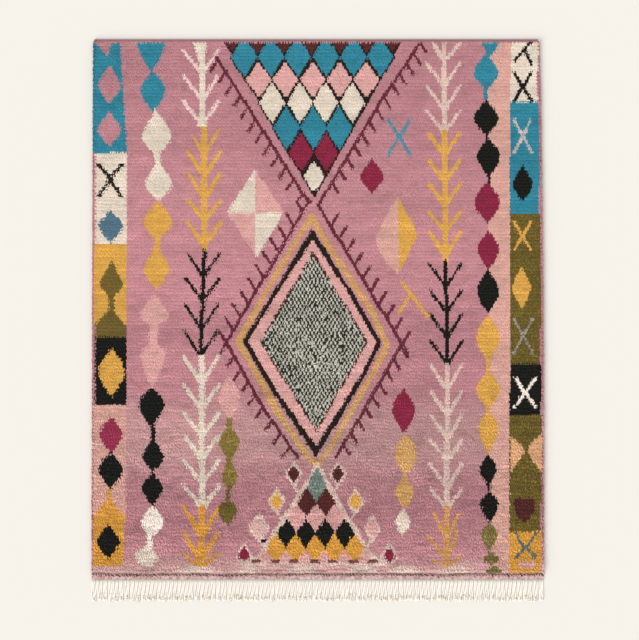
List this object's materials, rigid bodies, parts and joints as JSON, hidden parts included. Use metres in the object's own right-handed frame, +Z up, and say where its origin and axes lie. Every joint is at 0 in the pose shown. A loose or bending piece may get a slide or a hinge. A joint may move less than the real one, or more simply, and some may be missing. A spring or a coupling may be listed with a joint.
{
  "type": "beni ourain rug",
  "caption": "Hand-knotted wool pile rug lying flat, with a lumpy shag pile, a flat-woven end band and a knotted fringe at one end.",
  "frame": {"origin": "centre of the whole outline, fringe included, on the floor", "axes": "+X across the rug to the right as seen from above with the plain end up, +Y along the rug to the plain end, +Z up from the floor"},
  "size_m": [2.5406, 3.1382, 0.0221],
  "materials": {
    "wool_pile": "hand-spun dyed wool pile",
    "warp_yarn": "undyed cream yarn, knotted"
  },
  "bodies": {
    "root": {"rug": "wool_pile", "fringe": "warp_yarn"}
  },
  "joints": []
}
